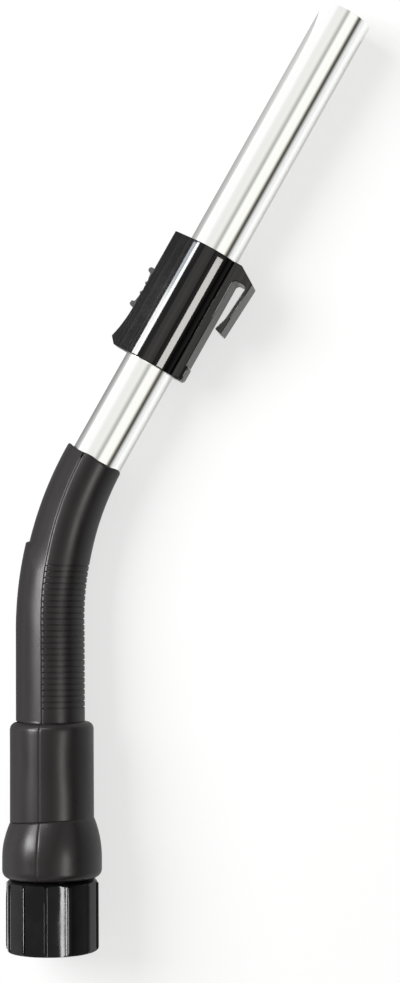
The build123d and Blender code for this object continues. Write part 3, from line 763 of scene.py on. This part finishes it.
catch_outline = [
    (TUBE_RADIUS + TUBE_EDGE, 0),
    (RAIL_REACH, 0),
    (catch_reach, CATCH_RISE),
    (catch_reach, CATCH_HEIGHT - CATCH_RISE),
    (RAIL_REACH, CATCH_HEIGHT),
    (TUBE_RADIUS + TUBE_EDGE, CATCH_HEIGHT),
]
catch = bevelled_plate("collar_catch", catch_outline, CATCH_WIDTH, COLLAR_EDGE)
for piece in (hook, catch):
    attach(piece, "handle")
    paint(piece, collar_black)


# Thumb slide
# Small black button that the thumb pushes along the collar's track to bleed air into the tube. It has a
# round bump at each end and low ridges in the hollow between them.
SLIDE_RISE = 0.0034
BUMP_RADIUS = 0.0017
RIDGE_RADIUS = 0.0008
RIDGE_SPREAD = 0.0033
SHUTTER_PLAY = 0.00015
SLIDE_EDGE = 0.0003
SLIDE_ROWS = 121

slide_top = FACE_REACH + SLIDE_RISE
slide_share = np.linspace(0, 1, SLIDE_ROWS)
slide_middle = SLIDE_PLACE + SLIDE_LENGTH / 2
slide_height = SLIDE_PLACE + SLIDE_LENGTH * slide_share


def slide_crest():
    """Height of the button's back over the tube's axis: a shallow hollow between two end bumps, each a
    half circle, with two small half-round ridges. The highest of these counts at each place."""
    off_middle = slide_height - slide_middle
    half = SLIDE_LENGTH / 2
    hollow = FACE_REACH + RIDGE_RADIUS / 2 + (SLIDE_RISE - BUMP_RADIUS) * (off_middle / half) ** 2
    from_bump = (np.abs(off_middle) - half + BUMP_RADIUS) / BUMP_RADIUS
    bump = slide_top - BUMP_RADIUS + BUMP_RADIUS * np.sqrt(np.clip(1 - from_bump**2, 0, 1))
    from_ridge = (np.abs(off_middle) - RIDGE_SPREAD) / RIDGE_RADIUS
    ridge = FACE_REACH + RIDGE_RADIUS / 2 + RIDGE_RADIUS * np.sqrt(np.clip(1 - from_ridge**2, 0, 1))
    on_bump = np.abs(from_bump) < 1
    on_ridge = np.abs(from_ridge) < 1
    return np.maximum.reduce([hollow, np.where(on_bump, bump, 0), np.where(on_ridge, ridge, 0)])


slide_base = FACE_REACH - TRACK_DEPTH + SHUTTER_PLAY
slide_outline = np.concatenate([
    np.stack([-slide_crest(), slide_height], axis=-1),
    [(-slide_base, SLIDE_PLACE + SLIDE_LENGTH), (-slide_base, SLIDE_PLACE)],
])
slide = bevelled_plate("thumb_button", slide_outline, SLIDE_WIDTH, SLIDE_EDGE)
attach(slide, "slide")
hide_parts("thumb_slide")
slide_black = moulding_material("slide_black", (0.016, 0.016, 0.017), 0.2, 0.32, 1200.0, 0.00002)[0]
paint(slide, slide_black)


# Studio
# A pale floor and surround, one soft key lamp from the upper left, strips that show only as reflections in
# the black pieces, and a glowing grey card beside the handle, seen in reflections alone, that paints a
# reflection of shade along the chrome's edge. The camera looks straight down on the handle, turned so that
# the lower axis stands upright.
FLOOR_SIZE = 6.0
FLOOR_GLOW = 0.68
FLOOR_MIRRORED = 0.3
CAMERA_HEIGHT = 1.2275
CAMERA_LENS = 72.5
CAMERA_SIDE = 0.09158
CAMERA_UP = 0.27604
CAMERA_TURN = np.radians(0.403)

floor_half = FLOOR_SIZE / 2
floor_mesh = bpy.data.meshes.new("floor")
floor_corners = floor_half * np.array([(-1, -1, 0), (1, -1, 0), (1, 1, 0), (-1, 1, 0)])
floor_mesh.from_pydata(floor_corners, [], [(0, 1, 2, 3)])
floor = bpy.data.objects.new("floor", floor_mesh)
bpy.context.scene.collection.objects.link(floor)
floor_paint, floor_tree, floor_shader = new_material("pale_floor", (0.97, 0.97, 0.97), 0.9)
floor_shader.inputs["Specular IOR Level"].default_value = 0.0
floor_glow = add_node(floor_tree, "ShaderNodeEmission", Color=(1, 1, 1, 1), Strength=1.0)
floor_mix = add_node(floor_tree, "ShaderNodeMixShader")
floor_path = add_node(floor_tree, "ShaderNodeLightPath")
floor_mirrored = add_node(floor_tree, "ShaderNodeMath", operation="MULTIPLY")
floor_mirrored.inputs[1].default_value = FLOOR_MIRRORED
floor_share = add_node(floor_tree, "ShaderNodeMath", operation="MULTIPLY_ADD")
floor_share.inputs[1].default_value = FLOOR_GLOW
floor_out = floor_tree.nodes["Material Output"]
floor_tree.links.new(floor_path.outputs["Is Glossy Ray"], floor_mirrored.inputs[0])
floor_tree.links.new(floor_path.outputs["Is Camera Ray"], floor_share.inputs[0])
floor_tree.links.new(floor_mirrored.outputs[0], floor_share.inputs[2])
floor_tree.links.new(floor_share.outputs[0], floor_mix.inputs[0])
floor_tree.links.new(floor_shader.outputs[0], floor_mix.inputs[1])
floor_tree.links.new(floor_glow.outputs[0], floor_mix.inputs[2])
floor_tree.links.new(floor_mix.outputs[0], floor_out.inputs["Surface"])
paint(floor, floor_paint)

# The card is a painted reflection of shade: it glows grey, darkest by the tube from below the bend and paler
# towards the tube's end, white at its outer edge, and only reflections see it.
CARD_REACH = 0.16
CARD_LEVEL = 0.0005
CARD_DARK = 0.04
CARD_PALE = 0.5
card_runs = np.array([0, BEND_START, *tube_bends[8::8], tube_end])
card_middle, card_across = centreline(card_runs)
card_points = np.concatenate([card_middle, card_middle - CARD_REACH * card_across])
card_points[:, 2] = CARD_LEVEL
card_count = len(card_runs)
card_inner = np.arange(card_count - 1)
card_outer = card_inner + card_count
card_faces = np.stack([card_inner, card_inner + 1, card_outer + 1, card_outer], axis=-1)
card_mesh = bpy.data.meshes.new("dark_card")
card_mesh.from_pydata(card_points, [], card_faces)
up_tube = np.clip((card_runs - BEND_START) / (tube_end - BEND_START), 0, 1)
card_painted_shade = np.concatenate([CARD_DARK + (CARD_PALE - CARD_DARK) * up_tube, np.ones(card_count)])
card_mesh.attributes.new("card_painted_shade", "FLOAT", "POINT").data.foreach_set("value", card_painted_shade)
card = bpy.data.objects.new("dark_card", card_mesh)
bpy.context.scene.collection.objects.link(card)
card.visible_camera = False
card.visible_diffuse = False
card.visible_shadow = False
card_paint, card_tree, _ = new_material("dark_card", (0, 0, 0), 1.0)
card_shade = add_node(card_tree, "ShaderNodeAttribute")
card_shade.attribute_name = "card_painted_shade"
card_glow = add_node(card_tree, "ShaderNodeEmission")
card_tree.links.new(card_shade.outputs["Color"], card_glow.inputs["Color"])
card_tree.links.new(card_glow.outputs[0], card_tree.nodes["Material Output"].inputs["Surface"])
paint(card, card_paint)

aim = mouth + CAMERA_SIDE * hook_way + CAMERA_UP * lower_way


def soft_lamp(name, target, toward, along, distance, width, length, radiance, color):
    """A flat lamp that faces a target from a direction, its length lying along a way. Its power is its
    radiance times its area times pi."""
    facing = toward / np.linalg.norm(toward)
    lengthwise = along - (along @ facing) * facing
    lengthwise /= np.linalg.norm(lengthwise)
    lamp = bpy.data.lights.new(name, "AREA")
    lamp.shape = "RECTANGLE"
    lamp.size = width
    lamp.size_y = length
    lamp.energy = radiance * np.pi * width * length
    lamp.color = color
    holder = bpy.data.objects.new(name, lamp)
    bpy.context.scene.collection.objects.link(holder)
    turned = Matrix(np.stack([np.cross(lengthwise, facing), lengthwise, facing], axis=-1).tolist())
    holder.matrix_world = Matrix.Translation((target + distance * facing).tolist()) @ turned.to_4x4()
    return holder


def gloss_strip(name, pieces, target, toward, along, width, length, radiance, color):
    """A strip that shows as a reflection in some pieces and adds no light of its own to matt surfaces."""
    strip = soft_lamp(name, target, toward, along, STRIP_DISTANCE, width, length, radiance, color)
    strip.visible_diffuse = False
    lit = bpy.data.collections.new(name)
    for piece in pieces:
        lit.objects.link(piece)
    strip.light_linking.receiver_collection = lit


def seen_from(side, up, height):
    """A direction given as the photograph shows it: to the right, up the image and towards the camera."""
    return side * hook_way + up * lower_way + height * front_way


def by_turn(degrees):
    """A direction across the straight tube, at a turn from straight up."""
    turn = np.radians(degrees)
    return np.array([np.sin(turn), 0, np.cos(turn)])


KEY_DISTANCE = 2.4
KEY_SIZE = 1.5
KEY_RADIANCE = 11.0
STRIP_DISTANCE = 1.3
WHITE = (1.0, 1.0, 1.0)
COOL = (0.86, 0.93, 1.0)
WARM = (1.0, 0.975, 0.94)

key_from = seen_from(-0.62, 0.32, 0.72)
key = soft_lamp("key", aim, key_from, lower_way, KEY_DISTANCE, KEY_SIZE, KEY_SIZE, KEY_RADIANCE, WHITE)
key.visible_glossy = False
collar_pieces = (collar, hook, catch, slide)
collar_middle = centreline(np.array(collar_foot + COLLAR_LENGTH / 2))[0]


def collar_strip(name, up, turn, width, length, radiance, color):
    """A strip for the collar, some way up the tube from its middle and at a turn from straight up."""
    target = collar_middle + up * tube_way
    gloss_strip(name, collar_pieces, target, by_turn(turn), tube_way, width, length, radiance, color)


def lower_strip(name, piece, up, toward, width, length, radiance, color):
    """A strip for a piece on the lower axis, some way up from the mouth, from a direction in the
    photograph."""
    target = mouth + up * lower_way
    gloss_strip(name, (piece,), target, seen_from(*toward), lower_way, width, length, radiance, color)


collar_strip("left_strip", up=0.1, turn=-63.5, width=0.25, length=0.34, radiance=82.0, color=WHITE)
collar_strip("low_haze", up=0.02, turn=-76, width=0.34, length=0.16, radiance=62.0, color=WHITE)
collar_strip("high_haze", up=0.165, turn=-76, width=0.34, length=0.13, radiance=30.0, color=COOL)
collar_strip("middle_haze", up=0.1, turn=-14, width=0.95, length=0.5, radiance=2.2, color=WARM)
collar_strip("right_strip", up=0.0625, turn=35.5, width=0.54, length=0.225, radiance=50.0, color=WARM)
lower_strip(
    "low_right", connector, up=CONNECTOR_LENGTH / 2, toward=(0.455, -0.21, 0.865),
    width=0.06, length=0.6, radiance=52.0, color=WHITE,
)
lower_strip(
    "low_left", connector, up=CONNECTOR_LENGTH / 2, toward=(-0.8, -0.17, 0.57),
    width=0.2, length=0.6, radiance=60.0, color=WHITE,
)
lower_strip(
    "palm_strip", grip, up=0.49, toward=(-0.765, 0, 0.644),
    width=0.2, length=0.96, radiance=5.5, color=WHITE,
)
lower_strip(
    "ball_lamp", grip, up=0.38, toward=(-0.69, 0, 0.724),
    width=0.5, length=0.2, radiance=44.0, color=WHITE,
)
gloss_strip(
    "bend_strip", (grip,), centreline(np.array(grip_top))[0], by_turn(-52), tube_way,
    width=0.3, length=0.5, radiance=13.0, color=WHITE,
)
lower_strip(
    "rim_lamp", grip, up=cuff_top, toward=(-0.25, 0.62, 0.75),
    width=0.5, length=0.2, radiance=12.0, color=WHITE,
)
lower_strip(
    "finger_strip", grip, up=-0.15, toward=(0.67, 0, 0.742),
    width=0.3, length=0.5, radiance=8.0, color=WARM,
)
lower_strip(
    "ball_glint", grip, up=-0.2, toward=(0.67, 0, 0.742),
    width=0.3, length=0.12, radiance=14.0, color=WARM,
)

SURROUND_LIGHT = 0.5
SURROUND_SEEN = 1.05

world = bpy.data.worlds.new("surround")
bpy.context.scene.world = world
world.use_nodes = True
surround = world.node_tree
surround_back = surround.nodes["Background"]
surround_place = add_node(surround, "ShaderNodeTexCoord")
surround_parts = add_node(surround, "ShaderNodeSeparateXYZ")
surround_turn = add_node(surround, "ShaderNodeMath", operation="ARCTAN2")
surround_share = add_node(surround, "ShaderNodeMapRange")
surround_share.inputs["From Min"].default_value = -np.pi
surround_share.inputs["From Max"].default_value = np.pi
surround_ramp = add_node(surround, "ShaderNodeValToRGB")
surround_path = add_node(surround, "ShaderNodeLightPath")
surround_seen = add_node(surround, "ShaderNodeMath", operation="MAXIMUM")
surround_level = add_node(surround, "ShaderNodeMapRange")
surround_level.inputs["To Min"].default_value = SURROUND_LIGHT
surround_level.inputs["To Max"].default_value = SURROUND_SEEN
# Colour of the surround by the turn about the tube, in degrees from straight up
stops = [
    (-130, (1.0, 1.0, 1.0)),
    (-95, (0.98, 0.99, 1.0)),
    (-58, (1.0, 1.0, 1.0)),
    (-46, (0.86, 0.86, 0.85)),
    (-30, (0.84, 0.84, 0.82)),
    (-17, (0.88, 0.88, 0.85)),
    (-11, (0.8, 0.8, 0.78)),
    (-2, (0.52, 0.53, 0.51)),
    (2, (0.42, 0.43, 0.41)),
    (6, (0.52, 0.52, 0.5)),
    (11, (0.85, 0.85, 0.83)),
    (15, (1.0, 1.0, 0.97)),
    (47, (0.98, 0.98, 0.94)),
    (55, (0.35, 0.34, 0.3)),
    (61, (0.07, 0.066, 0.055)),
    (67, (0.07, 0.068, 0.06)),
    (75, (0.5, 0.5, 0.49)),
    (86, (0.88, 0.9, 0.92)),
    (130, (0.97, 0.98, 1.0)),
]
ramp = surround_ramp.color_ramp
while len(ramp.elements) < len(stops):
    ramp.elements.new(1.0)
for element, (turn, color) in zip(ramp.elements, stops):
    element.position = (turn + 180) / 360
    element.color = (*color, 1)
surround.links.new(surround_place.outputs["Generated"], surround_parts.inputs["Vector"])
surround.links.new(surround_parts.outputs["X"], surround_turn.inputs[0])
surround.links.new(surround_parts.outputs["Z"], surround_turn.inputs[1])
surround.links.new(surround_turn.outputs[0], surround_share.inputs["Value"])
surround.links.new(surround_share.outputs["Result"], surround_ramp.inputs["Fac"])
surround.links.new(surround_ramp.outputs["Color"], surround_back.inputs["Color"])
surround.links.new(surround_path.outputs["Is Camera Ray"], surround_seen.inputs[0])
surround.links.new(surround_path.outputs["Is Glossy Ray"], surround_seen.inputs[1])
surround.links.new(surround_seen.outputs[0], surround_level.inputs["Value"])
surround.links.new(surround_level.outputs["Result"], surround_back.inputs["Strength"])

camera_data = bpy.data.cameras.new("camera")
camera_data.lens = CAMERA_LENS
camera = bpy.data.objects.new("camera", camera_data)
bpy.context.scene.collection.objects.link(camera)
camera.location = (aim[0], aim[1], CAMERA_HEIGHT)
camera.rotation_euler = (0, 0, np.arctan2(lower_way[1], lower_way[0]) - np.pi / 2 - CAMERA_TURN)
bpy.context.scene.camera = camera
bpy.context.scene.view_settings.view_transform = "Standard"
